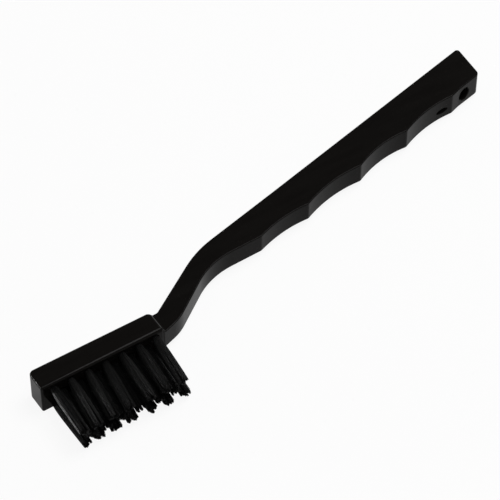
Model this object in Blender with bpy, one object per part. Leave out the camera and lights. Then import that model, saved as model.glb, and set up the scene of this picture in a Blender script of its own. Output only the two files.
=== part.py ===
"""Anti-static hand brush: one moulded handle and head, with staple-set tufts.

The brush lies on its side, as it lies on a bench. +X runs from the head to the
tail, +Y points out of the back of the head, and the bristles point along -Y.
The origin is the middle of the head's lower side face, and +Z points up.
Lengths are in metres.
"""
import math
import random

import bmesh
import bpy
from mathutils import Matrix, Vector

MM = 0.001

# Bristle field: holes drilled square into the face of the head, every second row
# set half a pitch along and one hole short
ROWS = 3
COLUMNS = 7
HOLE_DIAMETER = 2.6 * MM
HOLE_DEPTH = 4.5 * MM
ROW_WEB = 0.3 * MM
COLUMN_WEB = 2.9 * MM

# Head block: the walls around and behind the holes
SIDE_WALL = 1.0 * MM
FREE_END_WALL = 2.6 * MM
SHOULDER_WALL = 1.9 * MM
BACK_WALL = 3.1 * MM
HEAD_BACK_RADIUS = 1.7 * MM
HEAD_FACE_RADIUS = 0.6 * MM
HEAD_EDGE_RADIUS = 0.5 * MM

# Bent neck, from the head's shoulder up to the handle
NECK_STEP = 0.1 * MM
NECK_FLAT = 2.0 * MM
NECK_RUN = 21.7 * MM
NECK_RISE = 13.7 * MM
NECK_ROOT_RUN = 6.5 * MM
NECK_ROOT_DEPTH = 5.4 * MM
NECK_WIDTH = 6.6 * MM
NECK_CREASE_RADIUS = 1.8 * MM
NECK_BEND_RADIUS = 37 * MM
NECK_ROOT_RADIUS = 17 * MM

# Handle: a straight back, and finger grips along the bristle side
HANDLE_TILT = math.radians(13.0)
WAIST_POSITION = 1.0 * MM
WAIST_DEPTH = 6.2 * MM
WAIST_RADIUS = 25 * MM
FIRST_RIDGE = 19.2 * MM
RIDGE_PITCHES = (18.6 * MM, 21.7 * MM, 19.8 * MM, 20.2 * MM)
RIDGE_DEPTHS = (9.85 * MM, 11.05 * MM, 11.8 * MM, 12.25 * MM, 12.5 * MM)
RIDGE_RADIUS = 4.0 * MM
GRIP_DEPTHS = (1.3 * MM, 1.8 * MM, 1.85 * MM, 1.65 * MM)
GRIP_RADIUS = 28 * MM
END_LAND = 12.5 * MM
END_DEPTH = 12.15 * MM
END_STEP = 1.6 * MM
END_LEAN = 1.0 * MM
TAIL_WIDTH = 7.95 * MM
TAPER_START = 32 * MM
TAIL_BACK_RADIUS = 1.0 * MM
TAIL_TOE_RADIUS = 2.0 * MM
HANDLE_EDGE_RADIUS = 0.6 * MM

# Hanging hole through the tail, and the mould's gate dimple in the last grip
HANG_HOLE_DIAMETER = 4.4 * MM
HANG_HOLE_FROM_TAIL = 6.7 * MM
GATE_DIAMETER = 3.0 * MM
GATE_DEPTH = 0.9 * MM
GATE_FROM_RIDGE = 3.9 * MM

# Tufts: a bundle of filaments folded round a metal anchor at the foot of its hole.
# Each tuft swells past the mouth of its hole, and its tips lean towards the free end
# from use: each column by its own amount, and each row less than the one before.
CLEARANCE = 0.22 * MM
STRAND_RADIUS = 0.17 * MM
STRAND_SIDES = 3
STRAND_LAYERS = 2
TUFT_LENGTH = 17.8 * MM
TUFT_SWELL_HEIGHT = 2.5 * MM
TUFT_SWELL_WIDTH = 3.4 * MM
TUFT_TIP_WIDTH = 3.8 * MM
TUFT_GAP = 0.2 * MM
TUFT_SINK = 0.3 * MM
COLUMN_LEANS = (-0.6 * MM, -1.9 * MM, -2.1 * MM, -2.4 * MM, -1.3 * MM, -1.7 * MM, -1.7 * MM)
ROW_LEAN_STEP = 0.35 * MM
TRIM_SPREAD = 0.35 * MM
STRAND_JITTER = 0.05 * MM
FOLD_THICKNESS = 0.5 * MM
ANCHOR_HEIGHT = 1.5 * MM
ANCHOR_THICKNESS = 0.3 * MM

# Fineness of the curves, and what counts as a sharp edge
ARC_STEP = math.radians(9)
HOLE_SIDES = 16
HANG_HOLE_SIDES = 32
PLUG_SIDES = 12
HEAD_EDGE_STEPS = 2
HANDLE_EDGE_STEPS = 3
ROUNDED_ANGLE = math.radians(50)
SHADED_ANGLE = math.radians(35)
LONGEST_FILLET = 0.49
TUFT_SEED = 11

# Sizes that follow from those above
HOLE_PITCH_X = HOLE_DIAMETER + COLUMN_WEB
HOLE_PITCH_Z = HOLE_DIAMETER + ROW_WEB
CLOSEST_TIPS = HOLE_PITCH_X + min(b - a for a, b in zip(COLUMN_LEANS, COLUMN_LEANS[1:]))
HEAD_LENGTH = COLUMNS * HOLE_DIAMETER + (COLUMNS - 1) * COLUMN_WEB + FREE_END_WALL + SHOULDER_WALL
HEAD_WIDTH = ROWS * HOLE_DIAMETER + (ROWS - 1) * ROW_WEB + 2 * SIDE_WALL
HEAD_THICKNESS = HOLE_DEPTH + BACK_WALL
BEND_X = HEAD_LENGTH + NECK_FLAT + NECK_RUN
BEND_Y = NECK_RISE
FIRST_RIDGE_X = BEND_X + FIRST_RIDGE
TAIL_X = FIRST_RIDGE_X + sum(RIDGE_PITCHES) + END_LAND
OVERLAP = 3 * MM


def clear_scene():
    for obj in list(bpy.data.objects):
        bpy.data.objects.remove(obj, do_unlink=True)


def plastic(name, colour, roughness, metallic=0.0):
    material = bpy.data.materials.new(name)
    material.use_nodes = True
    shader = material.node_tree.nodes["Principled BSDF"]
    shader.inputs["Base Color"].default_value = (*colour, 1.0)
    shader.inputs["Roughness"].default_value = roughness
    shader.inputs["Metallic"].default_value = metallic
    return material


def add_object(name, bm, parent, material):
    """Makes a named object of a bmesh, shaded smooth where its faces meet at a shallow angle."""
    mesh = bpy.data.meshes.new(name)
    bm.to_mesh(mesh)
    bm.free()
    if material:
        mesh.materials.append(material)
    mesh.shade_smooth()
    mesh.set_sharp_from_angle(angle=SHADED_ANGLE)
    obj = bpy.data.objects.new(name, mesh)
    bpy.context.collection.objects.link(obj)
    obj.parent = parent
    return obj


def make_guide(obj):
    """Marks an object that only cuts or joins another one."""
    obj.hide_render = True
    obj.display_type = "WIRE"


def combine(obj, other, operation):
    modifier = obj.modifiers.new(operation.title(), "BOOLEAN")
    modifier.operation = operation
    modifier.solver = "EXACT"
    modifier.object = other


def round_edges(obj, radius, segments):
    modifier = obj.modifiers.new("Rounded edges", "BEVEL")
    modifier.width = radius
    modifier.segments = segments
    modifier.limit_method = "ANGLE"
    modifier.angle_limit = ROUNDED_ANGLE


def rounded_outline(corners):
    """Turns (x, y, radius) corners into a closed outline with true arcs at the corners.

    An arc that would take more than its half of a side is made smaller.
    """
    outline = []
    count = len(corners)
    for i, (x, y, radius) in enumerate(corners):
        here = Vector((x, y))
        before = Vector(corners[i - 1][:2]) - here
        after = Vector(corners[(i + 1) % count][:2]) - here
        turn = math.pi - before.angle(after)
        longest = LONGEST_FILLET * min(before.length, after.length)
        reach = min(radius * math.tan(turn / 2), longest)
        if radius == 0 or turn < ARC_STEP / 100:
            outline.append(here)
            continue
        true_radius = reach / math.tan(turn / 2)
        start = here + before.normalized() * reach
        middle = here + (before.normalized() + after.normalized()).normalized() * (
            true_radius / math.cos(turn / 2))
        steps = max(2, math.ceil(turn / ARC_STEP))
        side = 1 if before.cross(after) < 0 else -1
        for k in range(steps + 1):
            arm = start - middle
            arm.rotate(Matrix.Rotation(side * turn * k / steps, 2))
            outline.append(middle + arm)
    return outline


def extrude_outline(outline, half_width):
    """Closed prism of an outline in the XY plane, reaching half_width to each side in Z."""
    bm = bmesh.new()
    verts = [bm.verts.new((p.x, p.y, -half_width)) for p in outline]
    face = bm.faces.new(verts)
    far = bmesh.ops.extrude_face_region(bm, geom=[face])["geom"]
    for item in far:
        if isinstance(item, bmesh.types.BMVert):
            item.co.z = half_width
    bmesh.ops.recalc_face_normals(bm, faces=bm.faces)
    return bm


def back_y(x):
    """Height of the handle's straight back at x."""
    return BEND_Y + (x - BEND_X) * math.tan(HANDLE_TILT)


def under_back(x, depth, radius):
    """Outline corner at x, that many metres square below the handle's back."""
    return (x, back_y(x) - depth / math.cos(HANDLE_TILT), radius)


def handle_corners():
    """Side view of the neck and handle: along the back to the tail, then home under the grips."""
    shoulder = HEAD_LENGTH
    corners = [
        (shoulder - OVERLAP, -NECK_STEP, 0),
        (shoulder + NECK_FLAT, -NECK_STEP, NECK_CREASE_RADIUS),
        (BEND_X, BEND_Y, NECK_BEND_RADIUS),
        (TAIL_X + END_LEAN, back_y(TAIL_X + END_LEAN), TAIL_BACK_RADIUS),
        under_back(TAIL_X, END_DEPTH, TAIL_TOE_RADIUS),
    ]
    ridges = [FIRST_RIDGE_X + sum(RIDGE_PITCHES[:i]) for i in range(len(RIDGE_DEPTHS))]
    corners.append(under_back(ridges[-1] + END_STEP, END_DEPTH, RIDGE_RADIUS))
    for i in reversed(range(len(ridges))):
        corners.append(under_back(ridges[i], RIDGE_DEPTHS[i], RIDGE_RADIUS))
        if i > 0:
            valley_x = (ridges[i] + ridges[i - 1]) / 2
            valley_depth = (RIDGE_DEPTHS[i] + RIDGE_DEPTHS[i - 1]) / 2 - GRIP_DEPTHS[i - 1]
            corners.append(under_back(valley_x, valley_depth, GRIP_RADIUS))
    corners += [
        under_back(BEND_X + WAIST_POSITION, WAIST_DEPTH, WAIST_RADIUS),
        (shoulder + NECK_ROOT_RUN, -NECK_ROOT_DEPTH, NECK_ROOT_RADIUS),
        (shoulder, NECK_STEP - HEAD_THICKNESS, 0),
        (shoulder - OVERLAP, NECK_STEP - HEAD_THICKNESS, 0),
    ]
    return corners


def taper_sides(bm):
    """Widens the prism from the neck's width to the tail's, with flat side faces."""
    start = BEND_X + TAPER_START
    bmesh.ops.bisect_plane(bm, geom=bm.verts[:] + bm.edges[:] + bm.faces[:],
                           plane_co=(start, 0, 0), plane_no=(1, 0, 0))
    growth = (TAIL_WIDTH - NECK_WIDTH) / 2 / (TAIL_X - start)
    for vert in bm.verts:
        vert.co.z += math.copysign(max(0, vert.co.x - start) * growth, vert.co.z)


def head_block(parent):
    """The head: a block whose back runs round into its two ends, with softened edges."""
    corners = [(0, 0, HEAD_BACK_RADIUS), (HEAD_LENGTH, 0, HEAD_BACK_RADIUS),
               (HEAD_LENGTH, -HEAD_THICKNESS, HEAD_FACE_RADIUS), (0, -HEAD_THICKNESS, HEAD_FACE_RADIUS)]
    bm = extrude_outline(rounded_outline(corners), HEAD_WIDTH / 2)
    block = add_object("head_block_guide", bm, parent, None)
    round_edges(block, HEAD_EDGE_RADIUS, HEAD_EDGE_STEPS)
    make_guide(block)
    return block


def hole_places():
    """Name, centre and lean of each tuft on the bristle face, row by row."""
    for row in range(ROWS):
        stagger = row % 2
        z = ((ROWS - 1) / 2 - row) * HOLE_PITCH_Z
        for column in range(COLUMNS - stagger):
            x = FREE_END_WALL + HOLE_DIAMETER / 2 + (column + stagger / 2) * HOLE_PITCH_X
            lean = (COLUMN_LEANS[column] + COLUMN_LEANS[column + stagger]) / 2 + row * ROW_LEAN_STEP
            yield f"row{row + 1}_{column + 1}", Vector((x, -HEAD_THICKNESS, z)), lean


def add_cylinder(bm, radius, sides, start, end):
    """Adds a closed cylinder between two points to a bmesh."""
    axis = end - start
    turn = axis.to_track_quat("Z", "Y").to_matrix().to_4x4()
    place = Matrix.Translation((start + end) / 2) @ turn
    bmesh.ops.create_cone(bm, cap_ends=True, segments=sides, radius1=radius, radius2=radius,
                          depth=axis.length, matrix=place)


def hole_cutter(parent):
    """The blind holes' drills, one for each tuft."""
    bm = bmesh.new()
    for _, mouth, _ in hole_places():
        add_cylinder(bm, HOLE_DIAMETER / 2, HOLE_SIDES,
                     mouth + Vector((0, HOLE_DEPTH, 0)), mouth - Vector((0, MM, 0)))
    cutter = add_object("tuft_holes_guide", bm, parent, None)
    make_guide(cutter)
    return cutter


def tail_cutter(parent):
    """The hanging hole, from the end land square to the back, and the gate dimple in the last grip."""
    bm = bmesh.new()
    inward = Vector((-math.sin(HANDLE_TILT), math.cos(HANDLE_TILT), 0))
    land = Vector((*under_back(TAIL_X - HANG_HOLE_FROM_TAIL, END_DEPTH, 0)[:2], 0))
    add_cylinder(bm, HANG_HOLE_DIAMETER / 2, HANG_HOLE_SIDES,
                 land - inward * MM, land + inward * (END_DEPTH + MM))
    x = TAIL_X - END_LAND - GATE_FROM_RIDGE
    grip_rise = (GRIP_DEPTHS[-1] + (RIDGE_DEPTHS[-1] - RIDGE_DEPTHS[-2]) / 2) / (RIDGE_PITCHES[-1] / 2)
    grip_depth = RIDGE_DEPTHS[-1] - GATE_FROM_RIDGE * grip_rise
    grip = Vector((*under_back(x, grip_depth, 0)[:2], 0))
    add_cylinder(bm, GATE_DIAMETER / 2, PLUG_SIDES, grip - inward * MM, grip + inward * GATE_DEPTH)
    cutter = add_object("tail_cuts_guide", bm, parent, None)
    make_guide(cutter)
    return cutter


def make_handle(parent, material):
    bm = extrude_outline(rounded_outline(handle_corners()), NECK_WIDTH / 2)
    taper_sides(bm)
    handle = add_object("handle", bm, parent, material)
    round_edges(handle, HANDLE_EDGE_RADIUS, HANDLE_EDGE_STEPS)
    combine(handle, head_block(parent), "UNION")
    combine(handle, hole_cutter(parent), "DIFFERENCE")
    combine(handle, tail_cutter(parent), "DIFFERENCE")


# Heights in a tuft's own frame, whose origin is the mouth of its hole, with +Z out of the head
PLUG_FOOT = CLEARANCE - HOLE_DEPTH
PLUG_TOP = -TUFT_SINK
ANCHOR_FOOT = PLUG_FOOT + FOLD_THICKNESS + CLEARANCE
PLUG_RADIUS = HOLE_DIAMETER / 2 - CLEARANCE


def plug_mesh():
    """The folded root of a tuft, with the slot that its anchor passes through."""
    bm = bmesh.new()
    add_cylinder(bm, PLUG_RADIUS, PLUG_SIDES, Vector((0, 0, PLUG_FOOT)), Vector((0, 0, PLUG_TOP)))
    plug = add_object("plug_guide", bm, None, None)
    bm = bmesh.new()
    slot_height = ANCHOR_HEIGHT + 2 * CLEARANCE
    slot_width = ANCHOR_THICKNESS + 2 * CLEARANCE
    centre = Vector((0, 0, ANCHOR_FOOT - CLEARANCE + slot_height / 2))
    size = Matrix.Diagonal((2 * HOLE_DIAMETER, slot_width, slot_height, 1))
    bmesh.ops.create_cube(bm, size=1, matrix=Matrix.Translation(centre) @ size)
    slot = add_object("slot_guide", bm, None, None)
    combine(plug, slot, "DIFFERENCE")
    evaluated = plug.evaluated_get(bpy.context.evaluated_depsgraph_get())
    mesh = bpy.data.meshes.new_from_object(evaluated)
    bpy.data.objects.remove(plug, do_unlink=True)
    bpy.data.objects.remove(slot, do_unlink=True)
    return mesh


def strand_grid():
    """Places of the strands on a hexagonal grid: one in the middle, and layers round it.

    The outermost place lies at 1 from the middle.
    """
    places = []
    steps = range(-STRAND_LAYERS, STRAND_LAYERS + 1)
    for q in steps:
        for r in steps:
            if abs(q + r) <= STRAND_LAYERS:
                places.append(Vector((q + r / 2, r * math.sqrt(3) / 2)) / STRAND_LAYERS)
    return places


def strand_rings(place, draw, lean, trim):
    """Rings of one strand, from the plug past the tuft's swell to its tip."""
    margin = STRAND_RADIUS + STRAND_JITTER
    root_reach = PLUG_RADIUS - margin
    swell_reach = TUFT_SWELL_WIDTH / 2 - margin
    tip_reach = min(TUFT_TIP_WIDTH, CLOSEST_TIPS - TUFT_GAP) / 2 - margin
    row_reach = (HOLE_PITCH_Z - TUFT_GAP) / 2 - margin
    root = Vector((place.x * root_reach, place.y * root_reach, PLUG_TOP))
    swell = Vector((place.x * swell_reach + lean * TUFT_SWELL_HEIGHT / TUFT_LENGTH,
                    place.y * row_reach, TUFT_SWELL_HEIGHT))
    tip = Vector((place.x * tip_reach + lean + draw.uniform(-1, 1) * STRAND_JITTER,
                  place.y * row_reach + draw.uniform(-1, 1) * STRAND_JITTER,
                  TUFT_LENGTH + trim + draw.uniform(-1, 1) * TRIM_SPREAD))
    rings = []
    for centre in (root, swell, tip):
        rings.append([centre + STRAND_RADIUS * Vector((math.cos(a), math.sin(a), 0))
                      for a in (2 * math.pi * k / STRAND_SIDES for k in range(STRAND_SIDES))])
    return rings


def make_tuft(name, mouth, lean, plug, draw, parent, material):
    """One tuft: strands that grow out of the top of their folded root."""
    bm = bmesh.new()
    bm.from_mesh(plug)
    highest = max(face.calc_center_median().z for face in bm.faces)
    top = [face for face in bm.faces if face.calc_center_median().z == highest]
    bmesh.ops.delete(bm, geom=top, context="FACES_ONLY")
    rim = [e for e in bm.edges if e.is_boundary]
    trim = draw.uniform(-1, 1) * TRIM_SPREAD
    for place in strand_grid():
        rings = [[bm.verts.new(p) for p in ring] for ring in strand_rings(place, draw, lean, trim)]
        for low, high in zip(rings, rings[1:]):
            for k in range(STRAND_SIDES):
                n = (k + 1) % STRAND_SIDES
                bm.faces.new((low[k], low[n], high[n], high[k]))
        bm.faces.new(rings[-1])
        rim += [bm.edges.get((rings[0][k - 1], rings[0][k])) for k in range(STRAND_SIDES)]
    bmesh.ops.triangle_fill(bm, use_beauty=True, edges=rim, normal=(0, 0, 1))
    bmesh.ops.recalc_face_normals(bm, faces=bm.faces)
    tuft = add_object(name, bm, parent, material)
    tuft.location = mouth
    tuft.rotation_euler.x = math.radians(90)


def make_anchor(name, mouth, parent, material):
    """The flat piece of wire that holds a tuft's fold at the foot of its hole."""
    bm = bmesh.new()
    centre = Vector((0, 0, ANCHOR_FOOT + ANCHOR_HEIGHT / 2))
    size = Matrix.Diagonal((HOLE_DIAMETER - 2 * CLEARANCE, ANCHOR_THICKNESS, ANCHOR_HEIGHT, 1))
    bmesh.ops.create_cube(bm, size=1, matrix=Matrix.Translation(centre) @ size)
    anchor = add_object(name, bm, parent, material)
    anchor.location = mouth
    anchor.rotation_euler.x = math.radians(90)


def build():
    clear_scene()
    frame = bpy.data.objects.new("brush_frame", None)
    frame.location = (-HEAD_LENGTH / 2, HEAD_THICKNESS / 2, HEAD_WIDTH / 2)
    bpy.context.collection.objects.link(frame)
    make_handle(frame, plastic("black_handle_plastic", (0.014, 0.014, 0.015), 0.38))
    bristle = plastic("black_bristle_nylon", (0.016, 0.016, 0.017), 0.45)
    brass = plastic("anchor_brass", (0.55, 0.40, 0.16), 0.35, 1.0)
    plug = plug_mesh()
    draw = random.Random(TUFT_SEED)
    for place, mouth, lean in hole_places():
        make_tuft(f"tuft_{place}", mouth, lean, plug, draw, frame, bristle)
        make_anchor(f"anchor_{place}", mouth, frame, brass)
    bpy.data.meshes.remove(plug)


build()
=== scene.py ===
import math
import random

import bmesh
import bpy
from mathutils import Matrix, Vector


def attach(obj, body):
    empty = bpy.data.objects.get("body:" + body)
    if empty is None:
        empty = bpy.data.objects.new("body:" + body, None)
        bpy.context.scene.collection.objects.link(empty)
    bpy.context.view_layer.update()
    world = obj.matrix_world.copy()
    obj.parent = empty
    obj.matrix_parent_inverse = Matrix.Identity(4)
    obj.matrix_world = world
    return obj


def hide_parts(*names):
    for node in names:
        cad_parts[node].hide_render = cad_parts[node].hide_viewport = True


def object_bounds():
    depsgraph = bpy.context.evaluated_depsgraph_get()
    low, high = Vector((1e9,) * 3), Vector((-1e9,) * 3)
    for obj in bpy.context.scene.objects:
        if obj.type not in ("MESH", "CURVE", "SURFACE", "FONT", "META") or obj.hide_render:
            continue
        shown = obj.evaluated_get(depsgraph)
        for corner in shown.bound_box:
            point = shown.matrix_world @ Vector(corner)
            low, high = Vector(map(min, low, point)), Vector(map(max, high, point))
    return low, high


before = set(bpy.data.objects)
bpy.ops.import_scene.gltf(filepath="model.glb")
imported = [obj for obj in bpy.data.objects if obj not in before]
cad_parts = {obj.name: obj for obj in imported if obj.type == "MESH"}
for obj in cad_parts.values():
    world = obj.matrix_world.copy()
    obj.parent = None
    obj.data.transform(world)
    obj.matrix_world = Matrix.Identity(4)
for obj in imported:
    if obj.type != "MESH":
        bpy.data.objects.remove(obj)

cad_low, cad_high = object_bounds()
MM = 0.001

# Handle, neck and head, one moulding.
# Black carbon-filled plastic, injection moulded in one shot through a gate in the last
# finger grip, with the tuft holes drilled into the head afterwards.
HEAD_LENGTH = 40.1 * MM
HEAD_WIDTH = 10.4 * MM
HEAD_THICKNESS = 7.6 * MM
HEAD_BACK_RADIUS = 1.7 * MM
HEAD_FACE_RADIUS = 0.6 * MM
HEAD_CORNER_RADIUS = 1.0 * MM
HEAD_EDGE_RADIUS = 0.8 * MM
SHOULDER_EDGE_RADIUS = 1.25 * MM
HOLE_RADIUS = 1.3 * MM
HOLE_DEPTH = 4.5 * MM
HOLE_RIM = 0.1 * MM
HOLE_PITCH_X = 5.5 * MM
HOLE_PITCH_Z = 2.9 * MM
FIRST_HOLE = 3.9 * MM
ROWS = 3
COLUMNS = 7

NECK_STEP = 0.1 * MM
NECK_FLAT = 2.0 * MM
NECK_RUN = 21.7 * MM
NECK_RISE = 13.7 * MM
NECK_ROOT = (6.5 * MM, 5.4 * MM, 17 * MM)
NECK_WIDTH = 6.6 * MM
NECK_CREASE_RADIUS = 1.8 * MM
NECK_BEND_RADIUS = 37 * MM
NECK_ROOT_FILLET = 0.5 * MM
HANDLE_TILT = math.radians(13)
WAIST = (1.0 * MM, 6.2 * MM, 25 * MM)
FIRST_RIDGE = 19.2 * MM
RIDGE_PITCHES = (18.6 * MM, 21.7 * MM, 19.8 * MM, 20.2 * MM)
RIDGE_DEPTHS = (9.85 * MM, 11.05 * MM, 11.8 * MM, 12.25 * MM, 12.5 * MM)
RIDGE_RADIUS = 3 * MM
GRIP_SAGS = (1.0 * MM, 1.38 * MM, 1.42 * MM, 1.27 * MM)
GRIP_STEPS = 24
END_LAND = 12.5 * MM
END_DEPTH = 12.15 * MM
END_STEP = 3.4 * MM
END_STEP_RADIUS = 16 * MM
END_LEAN = 1.0 * MM
TAIL_WIDTH = 7.95 * MM
TAPER_START = 32 * MM
TAIL_BACK_RADIUS = 1.03 * MM
TAIL_TOE_RADIUS = 2.0 * MM
HANDLE_EDGE_RADIUS = 0.35 * MM
HANG_HOLE_RADIUS = 2.2 * MM
HANG_HOLE_RIM = 0.25 * MM
HANG_HOLE_FROM_TAIL = 6.7 * MM
GATE_LENGTH = 4.0 * MM
GATE_HEIGHT = 1.8 * MM
GATE_DEPTH = 0.9 * MM
GATE_RIM = 0.1 * MM
GATE_DROP = 0.7 * MM
GATE_FROM_RIDGE = 3.9 * MM

BEND_X = HEAD_LENGTH + NECK_FLAT + NECK_RUN
FIRST_RIDGE_X = BEND_X + FIRST_RIDGE
TAIL_X = FIRST_RIDGE_X + sum(RIDGE_PITCHES) + END_LAND
SKETCH_ORIGIN = Vector((cad_low.x, HEAD_THICKNESS / 2, HEAD_WIDTH / 2))
SUNK = 3 * MM
ARC_STEP = math.radians(3)
LEAST_ARC_STEPS = 3
STRAIGHT_TURN = ARC_STEP / 100
ARC_SHARE_OF_SIDE = 0.49
LEAST_MITRE = 0.3
EDGE_STEPS = 6
FILLET_CUTS = 6
TUFT_HOLE_SIDES = 32
GATE_SIDES = 48
HANG_HOLE_SIDES = 64
DRILL_PROUD = 1 * MM
WELD_REACH = 0.002 * MM
SHARP_ANGLE = math.radians(28)
LEVEL_WEIGHT = 100


def back_y(x):
    return NECK_RISE + (x - BEND_X) * math.tan(HANDLE_TILT)


def under_back(x, depth, radius):
    return (x, back_y(x) - depth / math.cos(HANDLE_TILT), radius)


def grip_depth(i, share):
    """Depth under the back at this share of the way from ridge i to the ridge before it."""
    depth = RIDGE_DEPTHS[i] + (RIDGE_DEPTHS[i - 1] - RIDGE_DEPTHS[i]) * share
    return depth - GRIP_SAGS[i - 1] * 4 * share * (1 - share)


def side_view():
    """Corners of the neck and handle from the side, each with its radius."""
    root_run, root_depth, root_radius = NECK_ROOT
    waist_x, waist_depth, waist_radius = WAIST
    corners = [
        (HEAD_LENGTH - SUNK, -NECK_STEP, 0),
        (HEAD_LENGTH + NECK_FLAT, -NECK_STEP, NECK_CREASE_RADIUS),
        (BEND_X, NECK_RISE, NECK_BEND_RADIUS),
        (TAIL_X + END_LEAN, back_y(TAIL_X + END_LEAN), TAIL_BACK_RADIUS),
        under_back(TAIL_X, END_DEPTH, TAIL_TOE_RADIUS),
    ]
    ridges = [FIRST_RIDGE_X + sum(RIDGE_PITCHES[:i]) for i in range(len(RIDGE_DEPTHS))]
    corners.append(under_back(ridges[-1] + END_STEP, END_DEPTH, END_STEP_RADIUS))
    for i in reversed(range(len(ridges))):
        corners.append(under_back(ridges[i], RIDGE_DEPTHS[i], RIDGE_RADIUS))
        if i > 0:
            for step in range(1, GRIP_STEPS):
                share = step / GRIP_STEPS
                grip_x = ridges[i] + (ridges[i - 1] - ridges[i]) * share
                corners.append(under_back(grip_x, grip_depth(i, share), 0))
    corners += [
        under_back(BEND_X + waist_x, waist_depth, waist_radius),
        (HEAD_LENGTH + root_run, -root_depth, root_radius),
        (HEAD_LENGTH, NECK_STEP - HEAD_THICKNESS, 0),
        (HEAD_LENGTH - SUNK, NECK_STEP - HEAD_THICKNESS, 0),
    ]
    return corners


def with_arcs(corners):
    """Closed outline of (x, y, radius) corners, with an arc at each."""
    outline = []
    for i, (x, y, radius) in enumerate(corners):
        here = Vector((x, y))
        before = Vector(corners[i - 1][:2]) - here
        after = Vector(corners[(i + 1) % len(corners)][:2]) - here
        turn = math.pi - before.angle(after)
        if radius == 0 or turn < STRAIGHT_TURN:
            outline.append(here)
            continue
        longest = ARC_SHARE_OF_SIDE * min(before.length, after.length)
        reach = min(radius * math.tan(turn / 2), longest)
        start = here + before.normalized() * reach
        inward = (before.normalized() + after.normalized()).normalized()
        middle = here + inward * reach / math.sin(turn / 2)
        side = 1 if before.cross(after) < 0 else -1
        steps = max(LEAST_ARC_STEPS, math.ceil(turn / ARC_STEP))
        for k in range(steps + 1):
            arm = start - middle
            arm.rotate(Matrix.Rotation(side * turn * k / steps, 2))
            outline.append(middle + arm)
    return outline


def soft_slab(outline, half_width, edge_radius):
    """Closed slab of a clockwise outline. Its long edges are rounded by edge_radius(x)."""
    inward = []
    for i, here in enumerate(outline):
        before = (here - outline[i - 1]).normalized()
        after = (outline[(i + 1) % len(outline)] - here).normalized()
        square = Vector((before.y + after.y, -before.x - after.x)).normalized()
        inward.append(square / max(LEAST_MITRE, square.dot(Vector((before.y, -before.x)))))
    turns = [math.pi / 2 * k / EDGE_STEPS for k in range(EDGE_STEPS + 1)]
    levels = [(turn, -1) for turn in reversed(turns)] + [(turn, 1) for turn in turns]
    bm = bmesh.new()
    rings = []
    for turn, side in levels:
        ring = []
        for here, way in zip(outline, inward):
            radius = edge_radius(here.x)
            at = here + way * radius * (1 - math.cos(turn))
            z = side * (half_width - radius * (1 - math.sin(turn)))
            ring.append(bm.verts.new((at.x, at.y, z)))
        rings.append(ring)
    for low, high in zip(rings, rings[1:]):
        for k in range(len(outline)):
            bm.faces.new((low[k - 1], low[k], high[k], high[k - 1]))
    bm.faces.new(rings[0])
    bm.faces.new(reversed(rings[-1]))
    bmesh.ops.recalc_face_normals(bm, faces=bm.faces)
    return bm


def new_piece(name, bm):
    mesh = bpy.data.meshes.new(name)
    bm.to_mesh(mesh)
    bm.free()
    piece = bpy.data.objects.new(name, mesh)
    bpy.context.scene.collection.objects.link(piece)
    return piece


def join_or_cut(piece, tool, operation):
    boolean = piece.modifiers.new(operation.title(), "BOOLEAN")
    boolean.operation = operation
    boolean.object = tool
    evaluated = piece.evaluated_get(bpy.context.evaluated_depsgraph_get())
    mesh = bpy.data.meshes.new_from_object(evaluated)
    piece.modifiers.clear()
    piece.data = mesh
    bpy.data.objects.remove(tool, do_unlink=True)


def drill(bm, mouth, outward, radius, depth, rim, sides, through=False):
    """A drill that leaves a chamfered rim at its mouth, and at its far end if it goes through."""
    turn = outward.to_track_quat("Z", "Y").to_matrix().to_4x4()
    place = Matrix.Translation(mouth) @ turn
    foot = [(-depth, radius)]
    if through:
        foot = [(-depth - rim, radius + 2 * rim), (rim - depth, radius)]
    loops = []
    for z, reach in foot + [(-rim, radius), (0, radius + rim), (DRILL_PROUD, radius + rim)]:
        angles = (2 * math.pi * k / sides for k in range(sides))
        loops.append([bm.verts.new(place @ Vector((reach * math.cos(a), reach * math.sin(a), z)))
                      for a in angles])
    for low, high in zip(loops, loops[1:]):
        for k in range(sides):
            bm.faces.new((low[k - 1], low[k], high[k], high[k - 1]))
    bm.faces.new(reversed(loops[0]))
    bm.faces.new(loops[-1])


def head_edge_radius(x):
    """The edge at the shoulder is rounder than the others."""
    near_shoulder = min(1, max(0, (x - HEAD_LENGTH + HEAD_BACK_RADIUS) / HEAD_BACK_RADIUS))
    return HEAD_EDGE_RADIUS + (SHOULDER_EDGE_RADIUS - HEAD_EDGE_RADIUS) * near_shoulder


neck = soft_slab(with_arcs(side_view()), NECK_WIDTH / 2, lambda x: HANDLE_EDGE_RADIUS)
taper_start_x = BEND_X + TAPER_START
cuts = [HEAD_LENGTH + NECK_ROOT_FILLET * k / (FILLET_CUTS - 1) for k in range(FILLET_CUTS)]
for x in cuts + [taper_start_x]:
    bmesh.ops.bisect_plane(neck, geom=neck.verts[:] + neck.edges[:] + neck.faces[:],
                           plane_co=(x, 0, 0), plane_no=(1, 0, 0))
taper = (TAIL_WIDTH - NECK_WIDTH) / 2 / (TAIL_X - taper_start_x)
for vert in neck.verts:
    wider = max(0, vert.co.x - taper_start_x) * taper
    short = min(1, max(0, 1 - (vert.co.x - HEAD_LENGTH) / NECK_ROOT_FILLET))
    wider += NECK_ROOT_FILLET * (1 - math.sqrt(1 - short ** 2))
    vert.co.z += math.copysign(wider, vert.co.z)
moulding = new_piece("moulded_handle", neck)

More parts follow.
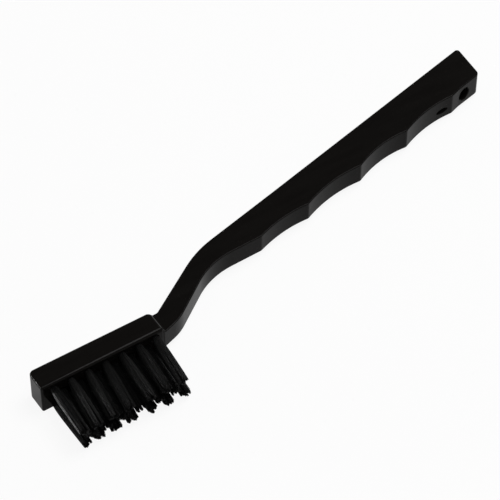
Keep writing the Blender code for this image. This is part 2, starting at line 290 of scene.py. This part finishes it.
block_corners = [
    (0, 0, HEAD_BACK_RADIUS),
    (HEAD_LENGTH, 0, HEAD_BACK_RADIUS),
    (HEAD_LENGTH, -HEAD_THICKNESS, HEAD_CORNER_RADIUS),
    (0, -HEAD_THICKNESS, HEAD_FACE_RADIUS),
]
block = soft_slab(with_arcs(block_corners), HEAD_WIDTH / 2, head_edge_radius)
join_or_cut(moulding, new_piece("head_block", block), "UNION")

outward = Vector((0, -1, 0))
mouths = {}
holes = bmesh.new()
for row in range(ROWS):
    stagger = row % 2
    for column in range(COLUMNS - stagger):
        mouth = Vector((FIRST_HOLE + (column + stagger / 2) * HOLE_PITCH_X, -HEAD_THICKNESS,
                        ((ROWS - 1) / 2 - row) * HOLE_PITCH_Z))
        mouths[row + 1, column + 1] = mouth + SKETCH_ORIGIN
        drill(holes, mouth, outward, HOLE_RADIUS, HOLE_DEPTH, HOLE_RIM, TUFT_HOLE_SIDES)
join_or_cut(moulding, new_piece("hole_drills", holes), "DIFFERENCE")

out_of_back = Vector((-math.sin(HANDLE_TILT), math.cos(HANDLE_TILT), 0))
land = Vector((*under_back(TAIL_X - HANG_HOLE_FROM_TAIL, END_DEPTH, 0)[:2], 0))
hole = bmesh.new()
drill(hole, land, -out_of_back, HANG_HOLE_RADIUS, END_DEPTH, HANG_HOLE_RIM, HANG_HOLE_SIDES,
      through=True)
join_or_cut(moulding, new_piece("hang_hole_drill", hole), "DIFFERENCE")

gate = bmesh.new()
gate_x = TAIL_X - END_LAND - GATE_FROM_RIDGE
gate_under = grip_depth(len(RIDGE_DEPTHS) - 1, GATE_FROM_RIDGE / RIDGE_PITCHES[-1])
gate_mouth = Vector((*under_back(gate_x, gate_under, 0)[:2], -GATE_DROP))
drill(gate, gate_mouth, -out_of_back, GATE_HEIGHT / 2, GATE_DEPTH, GATE_RIM, GATE_SIDES)
level_gate = Matrix.Rotation(-HANDLE_TILT, 4, "Z") @ Matrix.Translation(-gate_mouth)
bmesh.ops.scale(gate, verts=gate.verts[:], vec=(GATE_LENGTH / GATE_HEIGHT, 1, 1), space=level_gate)
join_or_cut(moulding, new_piece("gate_dimple", gate), "DIFFERENCE")

welded = bmesh.new()
welded.from_mesh(moulding.data)
bmesh.ops.remove_doubles(welded, verts=welded.verts, dist=WELD_REACH)
bmesh.ops.dissolve_degenerate(welded, edges=welded.edges, dist=WELD_REACH)
welded.to_mesh(moulding.data)
welded.free()
moulding.data.transform(Matrix.Translation(SKETCH_ORIGIN))
moulding.data.shade_smooth()
moulding.data.set_sharp_from_angle(angle=SHARP_ANGLE)
level = moulding.modifiers.new("Flat faces stay flat", "WEIGHTED_NORMAL")
level.keep_sharp = True
level.weight = LEVEL_WEIGHT


def new_material(name):
    material = bpy.data.materials.new(name)
    material.use_nodes = True
    tree = material.node_tree
    return material, tree.nodes, tree.links, tree.nodes["Principled BSDF"]


def noise(nodes, links, coordinates, pitch, detail=2, stretch=(1, 1, 1)):
    """Noise with its grain's pitch as a real length, stretched along the axes."""
    mapping = nodes.new("ShaderNodeMapping")
    mapping.inputs["Scale"].default_value = [s / pitch for s in stretch]
    links.new(coordinates, mapping.inputs["Vector"])
    texture = nodes.new("ShaderNodeTexNoise")
    texture.inputs["Scale"].default_value = 1
    texture.inputs["Detail"].default_value = detail
    links.new(mapping.outputs["Vector"], texture.inputs["Vector"])
    return texture.outputs["Fac"]


def between(nodes, links, value, low, high, from_low=0.3, from_high=0.7):
    """Spreads a noise value over the range from low to high."""
    span = nodes.new("ShaderNodeMapRange")
    span.inputs["From Min"].default_value = from_low
    span.inputs["From Max"].default_value = from_high
    span.inputs["To Min"].default_value = low
    span.inputs["To Max"].default_value = high
    links.new(value, span.inputs["Value"])
    return span.outputs["Result"]


def blend_colours(nodes, links, share, low, high):
    mix = nodes.new("ShaderNodeMix")
    mix.data_type = "RGBA"
    links.new(share, mix.inputs["Factor"])
    mix.inputs["A"].default_value = (*low, 1)
    mix.inputs["B"].default_value = (*high, 1)
    return mix.outputs["Result"]


def add_bump(nodes, links, shader, height, depth, below=None):
    bump = nodes.new("ShaderNodeBump")
    bump.inputs["Strength"].default_value = 1
    bump.inputs["Distance"].default_value = depth
    links.new(height, bump.inputs["Height"])
    if below:
        links.new(below.outputs["Normal"], bump.inputs["Normal"])
    links.new(bump.outputs["Normal"], shader.inputs["Normal"])
    return bump


PLASTIC_DARK = (0.0042, 0.0037, 0.0033)
PLASTIC_LIGHT = (0.0056, 0.0050, 0.0045)
PLASTIC_ROUGHNESS = (0.11, 0.15)
PLASTIC_INDEX = 1.14
TORN_ROUGHNESS = 0.85
FLOW_PITCH = 2.5 * MM
FLOW_DETAIL = 3
FLOW_STRETCH = (0.15, 1, 1)
CLOUD_PITCH = 9 * MM
CLOUD_DEPTH = 0.05 * MM
GRAIN_PITCH = 0.22 * MM
GRAIN_DEPTH = 0.004 * MM
SCAR_REACH = (GATE_LENGTH / 2 + 2 * GATE_RIM, 3 * GATE_DEPTH, GATE_HEIGHT / 2 + GATE_RIM)
plastic, nodes, links, shader = new_material("black_moulded_plastic")
place = nodes.new("ShaderNodeTexCoord").outputs["Object"]
flow = noise(nodes, links, place, FLOW_PITCH, FLOW_DETAIL, FLOW_STRETCH)
cloud = noise(nodes, links, place, CLOUD_PITCH)
grain = noise(nodes, links, place, GRAIN_PITCH)
shade = blend_colours(nodes, links, between(nodes, links, flow, 0, 1), PLASTIC_DARK, PLASTIC_LIGHT)
links.new(shade, shader.inputs["Base Color"])
# The gate was torn off, so the plastic is matt within an ellipsoid a little wider than its mark
scar = nodes.new("ShaderNodeMapping")
scar.vector_type = "TEXTURE"
scar.inputs["Location"].default_value = gate_mouth + SKETCH_ORIGIN
scar.inputs["Rotation"].default_value = (0, 0, HANDLE_TILT)
scar.inputs["Scale"].default_value = SCAR_REACH
links.new(place, scar.inputs["Vector"])
from_scar = nodes.new("ShaderNodeVectorMath")
from_scar.operation = "LENGTH"
links.new(scar.outputs["Vector"], from_scar.inputs[0])
torn = nodes.new("ShaderNodeMath")
torn.operation = "LESS_THAN"
torn.inputs[1].default_value = 1
links.new(from_scar.outputs["Value"], torn.inputs[0])
rough = nodes.new("ShaderNodeMix")
links.new(torn.outputs[0], rough.inputs["Factor"])
links.new(between(nodes, links, cloud, *PLASTIC_ROUGHNESS), rough.inputs["A"])
rough.inputs["B"].default_value = TORN_ROUGHNESS
links.new(rough.outputs["Result"], shader.inputs["Roughness"])
shader.inputs["IOR"].default_value = PLASTIC_INDEX
sinks = add_bump(nodes, links, shader, cloud, CLOUD_DEPTH)
add_bump(nodes, links, shader, grain, GRAIN_DEPTH, sinks)
moulding.data.materials.clear()
moulding.data.materials.append(plastic)
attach(moulding, "root")
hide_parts("handle")

# Anchors, the staples of a set-tuft brush.
# Short lengths of flat brass wire, one to a hole, driven in across the fold of each
# bundle so that their ends bite into the wall of the hole.
BRASS_DARK = (0.50, 0.35, 0.13)
BRASS_LIGHT = (0.60, 0.44, 0.19)
BRASS_ROUGHNESS = (0.28, 0.42)
DRAW_LINE_PITCH = 0.08 * MM
DRAW_LINE_STRETCH = (0.1, 1, 1)
DRAW_LINE_DEPTH = 0.003 * MM
brass, nodes, links, shader = new_material("drawn_brass")
place = nodes.new("ShaderNodeTexCoord").outputs["Object"]
drawn = noise(nodes, links, place, DRAW_LINE_PITCH, stretch=DRAW_LINE_STRETCH)
shade = blend_colours(nodes, links, between(nodes, links, drawn, 0, 1), BRASS_DARK, BRASS_LIGHT)
links.new(shade, shader.inputs["Base Color"])
links.new(between(nodes, links, drawn, *BRASS_ROUGHNESS), shader.inputs["Roughness"])
shader.inputs["Metallic"].default_value = 1
add_bump(nodes, links, shader, drawn, DRAW_LINE_DEPTH)
for row, column in mouths:
    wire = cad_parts[f"anchor_row{row}_{column}"]
    wire.data.materials.clear()
    wire.data.materials.append(brass)

# Tufts, each a bundle of black conductive nylon filaments.
# A bundle is folded in two round its anchor, driven to the foot of its hole, and
# trimmed level, and from there on the ends splay, lean and clot together in use.
FILAMENT_RADIUS = 0.085 * MM
FILAMENT_TIP = 0.7
FILAMENT_SIDES = 5
FILAMENT_SHARP_ANGLE = math.radians(75)
FILAMENTS = 180
FILAMENT_SPIRAL_START = 0.5
FOLD_HEIGHT = -4.15 * MM
TUFT_LENGTH = 17.8 * MM
COLUMN_LEANS = (-0.6 * MM, -1.9 * MM, -2.1 * MM, -2.4 * MM, -1.3 * MM, -1.7 * MM, -1.7 * MM)
ROW_LEAN_STEP = 0.35 * MM
COLUMN_SPREADS = (0.85, 1.08, 1.1, 1.05, 0.95, 0.95, 1.0)
# Height over the mouth of the hole, then how far the bundle reaches along and across the head
BUNDLE = (
    (FOLD_HEIGHT, 0.9 * MM, 0.5 * MM),
    (-3.2 * MM, 1.0 * MM, 1.0 * MM),
    (-1.8 * MM, 1.0 * MM, 1.0 * MM),
    (0.0, 1.02 * MM, 1.02 * MM),
    (1.2 * MM, 1.2 * MM, 1.12 * MM),
    (3 * MM, 1.42 * MM, 1.2 * MM),
    (6 * MM, 1.6 * MM, 1.25 * MM),
    (10 * MM, 1.72 * MM, 1.28 * MM),
    (14 * MM, 1.8 * MM, 1.3 * MM),
    (TUFT_LENGTH, 1.88 * MM, 1.3 * MM),
)
# How unevenly the ends are cut, and how much of that is by tuft, by clot and by filament
TRIM_SPREAD = 0.3 * MM
TUFT_TRIM = 0.6
CLOT_TRIM = 0.7
FILAMENT_TRIM = 0.25
TIP_DOME = 0.2 * MM
TIP_DOME_POWER = 4
# Clots, the points that the ends gather into, by row. Places are shares of the bundle's reach.
CLOTS = (7, 8, 7)
CLOT_SPIRAL_START = 0.6
CLOT_RING = 0.92
CLOT_WANDER = 0.35
CLOT_PULLS = (0.38, 0.4, 0.4)
CLOT_GRIP = (0.7, 1.15)
CLOT_POINTS = (0.3 * MM, 0.45 * MM, 0.5 * MM)
CLOT_POINT_REACH = 0.5
CLOT_START = 0.12
CLOT_CURVE = 0.8
# Shades run from 0, dull black, to 1, a painted highlight. Clot tones differ at random, rows 2 and
# 3 get painted shade, and one clot of the first tuft is a painted highlight, lighter and shinier.
CLOT_SHADES = (0.02, 0.22)
FILAMENT_SHADES = (0.7, 1.3)
# Painted shade: the deeper rows 2 and 3 are made darker and duller than row 1.
ROW_PAINTED_SHADES = (1.0, 0.5, 0.4)
PAINTED_HIGHLIGHT_TUFT = (1, 1)
PAINTED_HIGHLIGHT_CLOT = Vector((-0.93, 0.1))
STRAY_SHARE = 0.03
STRAY_REACH = (1.02, 1.1)
BOWS_MM = (0.04, 0.03)
GOLDEN_TURN = math.pi * (3 - math.sqrt(5))
SEEDS_PER_ROW = 100


def filament_paths(draw, row, lean, spread, longest, painted_highlight):
    """A tuft's filaments, each a shade and a centre line of (along, height, across)."""
    turned = draw.uniform(0, 2 * math.pi)
    clots = []
    for k in range(CLOTS[row - 1]):
        far = CLOT_RING * math.sqrt((k + CLOT_SPIRAL_START) / CLOTS[row - 1])
        turn = turned + k * GOLDEN_TURN + draw.uniform(-CLOT_WANDER, CLOT_WANDER)
        # Each clot's shade is a random tone times its row's painted shade.
        clots.append((Vector((far * math.cos(turn), far * math.sin(turn))),
                      draw.gauss(0, CLOT_TRIM) * TRIM_SPREAD,
                      draw.uniform(*CLOT_SHADES) * ROW_PAINTED_SHADES[row - 1]))
    # Painted highlight: one clot on the left flank of the first tuft gets the lightest, shiniest
    # shade.
    if painted_highlight:
        clots.append((PAINTED_HIGHLIGHT_CLOT, 0, 1.0))
    trim = TUFT_LENGTH + draw.uniform(-TUFT_TRIM, TUFT_TRIM) * TRIM_SPREAD
    filaments = []
    for i in range(FILAMENTS):
        far = math.sqrt((i + FILAMENT_SPIRAL_START) / FILAMENTS)
        turn = i * GOLDEN_TURN
        start = Vector((far * math.cos(turn), far * math.sin(turn)))
        clot, clot_trim, clot_shade = min(clots, key=lambda c: (c[0] - start).length)
        end = start.lerp(clot, CLOT_PULLS[row - 1] * draw.uniform(*CLOT_GRIP))
        tip = trim + clot_trim - TIP_DOME * far ** TIP_DOME_POWER
        tip += draw.gauss(0, FILAMENT_TRIM) * TRIM_SPREAD
        tip -= CLOT_POINTS[row - 1] * min(1, (clot - start).length / CLOT_POINT_REACH)
        if draw.random() < STRAY_SHARE:
            end = start * draw.uniform(*STRAY_REACH)
        bow = Vector((draw.gauss(0, BOWS_MM[0]), draw.gauss(0, BOWS_MM[1]))) * MM
        path = []
        for height, along, across in BUNDLE:
            share = max(0, height) / TUFT_LENGTH
            gathered = max(0, share - CLOT_START) / (1 - CLOT_START)
            at = start.lerp(end, gathered ** CLOT_CURVE)
            bent = math.sin(math.pi * share)
            x = at.x * along * (1 + (spread - 1) * share) + lean * share + bow.x * bent
            z = at.y * across + bow.y * bent
            path.append(Vector((x, min(tip, longest) if height == TUFT_LENGTH else height, z)))
        filaments.append((min(1, max(0, clot_shade * draw.uniform(*FILAMENT_SHADES))), path))
    return filaments


def tuft_mesh(name, mouth, filaments):
    """Thin closed tubes along the centre lines, each with its own shade."""
    verts, faces, shades = [], [], []
    ring = [(math.cos(2 * math.pi * k / FILAMENT_SIDES), math.sin(2 * math.pi * k / FILAMENT_SIDES))
            for k in range(FILAMENT_SIDES)]
    for shade, path in filaments:
        first = len(verts)
        for step, point in enumerate(path):
            radius = FILAMENT_RADIUS * (FILAMENT_TIP if step == len(path) - 1 else 1)
            for c, s in ring:
                verts.append((mouth.x + point.x + radius * c, mouth.y - point.y,
                              mouth.z + point.z + radius * s))
                shades.append(shade)
            if step:
                low = first + (step - 1) * FILAMENT_SIDES
                high = low + FILAMENT_SIDES
                for k in range(FILAMENT_SIDES):
                    n = (k + 1) % FILAMENT_SIDES
                    faces.append((low + k, low + n, high + n, high + k))
        last = len(verts) - FILAMENT_SIDES
        faces.append(tuple(range(first + FILAMENT_SIDES - 1, first - 1, -1)))
        faces.append(tuple(range(last, last + FILAMENT_SIDES)))
    mesh = bpy.data.meshes.new(name)
    mesh.from_pydata(verts, [], faces)
    mesh.attributes.new("shade", "FLOAT", "POINT").data.foreach_set("value", shades)
    mesh.shade_smooth()
    mesh.set_sharp_from_angle(angle=FILAMENT_SHARP_ANGLE)
    return mesh


# The palest colour is a painted highlight. Clots take random tones between it and the dull black.
NYLON_DULL = (0.0022, 0.0022, 0.0022)
NYLON_PAINTED_HIGHLIGHT = (0.0105, 0.0104, 0.0100)
NYLON_ROUGHNESS = (0.34, 0.44)
NYLON_SHINE = (0.12, 2.0)
NYLON_INDEX = 1.3
WEAR_PITCH = 1.5 * MM
nylon, nodes, links, shader = new_material("black_nylon_filament")
own_shade = nodes.new("ShaderNodeAttribute")
own_shade.attribute_name = "shade"
place = nodes.new("ShaderNodeTexCoord").outputs["Object"]
shade = blend_colours(nodes, links, own_shade.outputs["Fac"], NYLON_DULL, NYLON_PAINTED_HIGHLIGHT)
links.new(shade, shader.inputs["Base Color"])
wear = noise(nodes, links, place, WEAR_PITCH)
links.new(between(nodes, links, wear, *NYLON_ROUGHNESS), shader.inputs["Roughness"])
shine = between(nodes, links, own_shade.outputs["Fac"], *NYLON_SHINE, 0, 1)
links.new(shine, shader.inputs["Specular IOR Level"])
shader.inputs["IOR"].default_value = NYLON_INDEX
for (row, column), mouth in mouths.items():
    draw = random.Random(SEEDS_PER_ROW * row + column)
    stagger = (row - 1) % 2
    lean = (COLUMN_LEANS[column - 1] + COLUMN_LEANS[column - 1 + stagger]) / 2
    lean += (row - 1) * ROW_LEAN_STEP
    spread = COLUMN_SPREADS[column - 1]
    longest = mouth.y - cad_low.y
    filaments = filament_paths(draw, row, lean, spread, longest, (row, column) == PAINTED_HIGHLIGHT_TUFT)
    name = f"bristles_row{row}_{column}"
    tuft = bpy.data.objects.new(name, tuft_mesh(name, mouth, filaments))
    bpy.context.scene.collection.objects.link(tuft)
    tuft.data.materials.append(nylon)
    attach(tuft, "root")
    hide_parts(f"tuft_row{row}_{column}")

# Studio: a sweep of white paper with a low wall all round, on which the brush lies.
# The camera sees it nearly white and shiny surfaces mirror it as pale, and it still
# takes the brush's shadow.
SWEEP_RADIUS = 3.0
SWEEP_SIDES = 96
WALL_HEIGHT = 1.5
PAPER_SHADE = 0.9
SHARE_SEEN_WHITE = 0.9
SHARE_MIRRORED_WHITE = 0.6
ROOM_LIGHT = 0.2
sweep = bmesh.new()
bmesh.ops.create_circle(sweep, cap_ends=True, segments=SWEEP_SIDES, radius=SWEEP_RADIUS)
rim = [e for e in sweep.edges if e.is_boundary]
wall = bmesh.ops.extrude_edge_only(sweep, edges=rim)["geom"]
bmesh.ops.translate(sweep, verts=[v for v in wall if isinstance(v, bmesh.types.BMVert)],
                    vec=(0, 0, WALL_HEIGHT))
floor = new_piece("white_sweep", sweep)
paper, nodes, links, shader = new_material("white_paper")
matt = nodes.new("ShaderNodeBsdfDiffuse")
matt.inputs["Color"].default_value = (PAPER_SHADE, PAPER_SHADE, PAPER_SHADE, 1)
white = nodes.new("ShaderNodeEmission")
white.inputs["Color"].default_value = (1, 1, 1, 1)
rays = nodes.new("ShaderNodeLightPath")
share = None
for kind, amount in (("Is Camera Ray", SHARE_SEEN_WHITE), ("Is Glossy Ray", SHARE_MIRRORED_WHITE),
                     ("Is Transmission Ray", SHARE_MIRRORED_WHITE)):
    add = nodes.new("ShaderNodeMath")
    add.operation = "MULTIPLY_ADD"
    links.new(rays.outputs[kind], add.inputs[0])
    add.inputs[1].default_value = amount
    add.inputs[2].default_value = 0
    if share:
        links.new(share, add.inputs[2])
    share = add.outputs[0]
mixed = nodes.new("ShaderNodeMixShader")
links.new(share, mixed.inputs["Fac"])
links.new(matt.outputs[0], mixed.inputs[1])
links.new(white.outputs[0], mixed.inputs[2])
links.new(mixed.outputs[0], nodes["Material Output"].inputs["Surface"])
nodes.remove(shader)
floor.data.materials.append(paper)

world = bpy.data.worlds.new("studio")
bpy.context.scene.world = world
world.use_nodes = True
world.node_tree.nodes["Background"].inputs["Color"].default_value = (1, 1, 1, 1)
world.node_tree.nodes["Background"].inputs["Strength"].default_value = ROOM_LIGHT

LAMP_DISTANCE = 0.9
middle = (cad_low + cad_high) / 2


def softbox(name, direction, size, power):
    """Square area lamp, size in metres and power in watts, that faces the middle of the brush."""
    lamp = bpy.data.lights.new(name, "AREA")
    lamp.shape = "SQUARE"
    lamp.size = size
    lamp.energy = power
    box = bpy.data.objects.new(name, lamp)
    bpy.context.scene.collection.objects.link(box)
    way = Vector(direction).normalized()
    box.location = middle + way * LAMP_DISTANCE
    box.rotation_euler = way.to_track_quat("Z", "Y").to_euler()


softbox("right_softbox", (0.38, 0.0, 0.92), 0.5, 5)
softbox("front_left_softbox", (-0.25, -0.43, 0.87), 0.5, 1.2)
softbox("back_left_softbox", (-0.83, 0.555, 0.06), 0.1, 3)
softbox("back_right_softbox", (0.80, 0.57, 0.19), 0.3, 0.6)

# Camera, at the photograph's angle: above the brush, from the side of its bristles
# and of its head's free end.
CAMERA_AZIMUTH = math.radians(-33.5)
CAMERA_ELEVATION = math.radians(48.34)
CAMERA_ROLL = math.radians(0.3)
CAMERA_PLACE = (-0.21463, -0.40137, 0.56179)
SENSOR_WIDTH = 36
FOCAL_LENGTH = 184.5
camera = bpy.data.objects.new("camera", bpy.data.cameras.new("camera"))
camera.data.sensor_width = SENSOR_WIDTH
camera.data.lens = FOCAL_LENGTH
camera.matrix_world = (Matrix.Translation(CAMERA_PLACE)
                       @ Matrix.Rotation(CAMERA_AZIMUTH, 4, "Z")
                       @ Matrix.Rotation(math.radians(90) - CAMERA_ELEVATION, 4, "X")
                       @ Matrix.Rotation(CAMERA_ROLL, 4, "Z"))
bpy.context.scene.collection.objects.link(camera)
bpy.context.scene.camera = camera
bpy.context.scene.view_settings.view_transform = "Standard"
